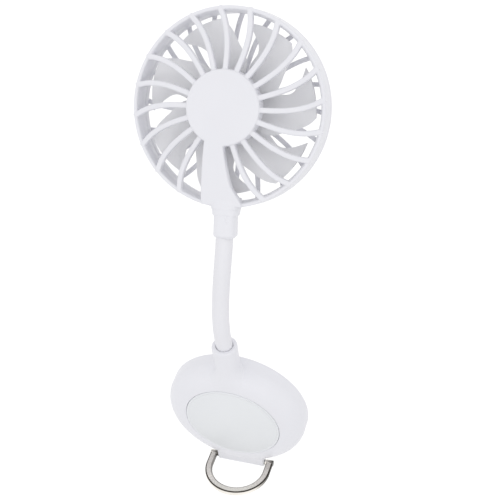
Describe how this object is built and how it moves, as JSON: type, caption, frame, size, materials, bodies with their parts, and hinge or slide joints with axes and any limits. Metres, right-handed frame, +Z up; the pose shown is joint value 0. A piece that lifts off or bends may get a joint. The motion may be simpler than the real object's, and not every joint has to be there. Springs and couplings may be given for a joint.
{
  "type": "magnetic phone fan",
  "caption": "Small caged fan on a bendable neck, rising from a round magnetic base that clings to a phone's back, with a press-in face and a folding metal bail.",
  "frame": {"origin": "centre of the base's magnetic face, on the outside of the grip pad", "axes": "+Y out of the magnetic face, into the phone that carries the part; +Z up along the neck's socket; +X to the right of someone looking at the base's press-in face"},
  "size_m": [0.0769, 0.0978, 0.1988],
  "materials": {
    "white_plastic": "satin moulded",
    "sleeve_silicone": "soft satin silicone",
    "pad_rubber": "matte silicone",
    "polished_nickel": "polished, warm tint",
    "steel": "plain",
    "magnet_plating": "nickel plated",
    "brass": "turned",
    "board_green": "solder mask",
    "cell_foil": "matte foil",
    "black_plastic": "matte",
    "lead_jacket": "matte"
  },
  "bodies": {
    "base": {"grip_pad": "pad_rubber", "rear_cover": "white_plastic", "magnet_ring": "magnet_plating", "shunt_ring": "steel", "cover_screw_1": "steel", "cover_screw_2": "steel", "cover_screw_3": "steel", "cover_screw_4": "steel", "front_housing": "white_plastic", "tact_switch": "black_plastic", "circuit_board": "board_green", "charge_port": "steel", "battery_cell": "cell_foil", "hinge_pin": "steel", "lower_ferrule": "brass", "neck_core_1": "steel", "neck_sleeve": "sleeve_silicone", "power_lead": "lead_jacket"},
    "face_button": {"press_plate": "white_plastic"},
    "bail": {"bail_ring": "polished_nickel"},
    "neck_link_1": {"neck_core_2": "steel"},
    "neck_link_2": {"neck_core_3": "steel"},
    "neck_link_3": {"neck_core_4": "steel"},
    "neck_link_4": {"neck_core_5": "steel"},
    "head": {"neck_core_6": "steel", "upper_ferrule": "brass", "neck_collar": "white_plastic", "rear_grille": "white_plastic", "front_grille": "white_plastic", "motor_can": "steel", "motor_bush": "brass", "motor_screw_1": "steel", "motor_screw_2": "steel"},
    "rotor": {"motor_shaft": "steel", "fan_rotor": "white_plastic"}
  },
  "joints": [
    {"name": "neck_pitch_low", "type": "hinge", "parent": "base", "child": "neck_link_1", "pos_m": [-0.00029, -0.00843, 0.0509], "axis": [1, 0, 0], "range_deg": [-25, 25], "deforming": ["neck_sleeve", "power_lead"]},
    {"name": "neck_sway_low", "type": "hinge", "parent": "neck_link_1", "child": "neck_link_2", "pos_m": [-0.00042, -0.00685, 0.06059], "axis": [0, -0.9729, 0.2314], "range_deg": [-25, 25], "deforming": ["neck_sleeve", "power_lead"]},
    {"name": "neck_pitch_mid", "type": "hinge", "parent": "neck_link_2", "child": "neck_link_3", "pos_m": [-0.00017, -0.00403, 0.06999], "axis": [1, 0, 0], "range_deg": [-25, 25], "deforming": ["neck_sleeve", "power_lead"]},
    {"name": "neck_sway_high", "type": "hinge", "parent": "neck_link_3", "child": "neck_link_4", "pos_m": [0.00024, -0.00025, 0.07905], "axis": [0, -0.9036, 0.4284], "range_deg": [-25, 25], "deforming": ["neck_sleeve", "power_lead"]},
    {"name": "neck_pitch_high", "type": "hinge", "parent": "neck_link_4", "child": "head", "pos_m": [0.00054, 0.00439, 0.0877], "axis": [1, 0, 0], "range_deg": [-25, 25], "deforming": ["neck_sleeve", "power_lead"]},
    {"name": "rotor_spin", "type": "hinge", "parent": "head", "child": "rotor", "pos_m": [-0.00245, 0.03379, 0.13448], "axis": [0, 0.809, -0.5878], "continuous": true},
    {"name": "bail_fold", "type": "hinge", "parent": "base", "child": "bail", "pos_m": [0, -0.0095, -0.0316], "axis": [1, 0, 0], "range_deg": [-54, 96]},
    {"name": "face_press", "type": "slide", "parent": "base", "child": "face_button", "axis": [0, 1, 0], "range_m": [0, 0.0005], "stiffness_N_per_m": 2000, "springref_m": -0.0002}
  ]
}
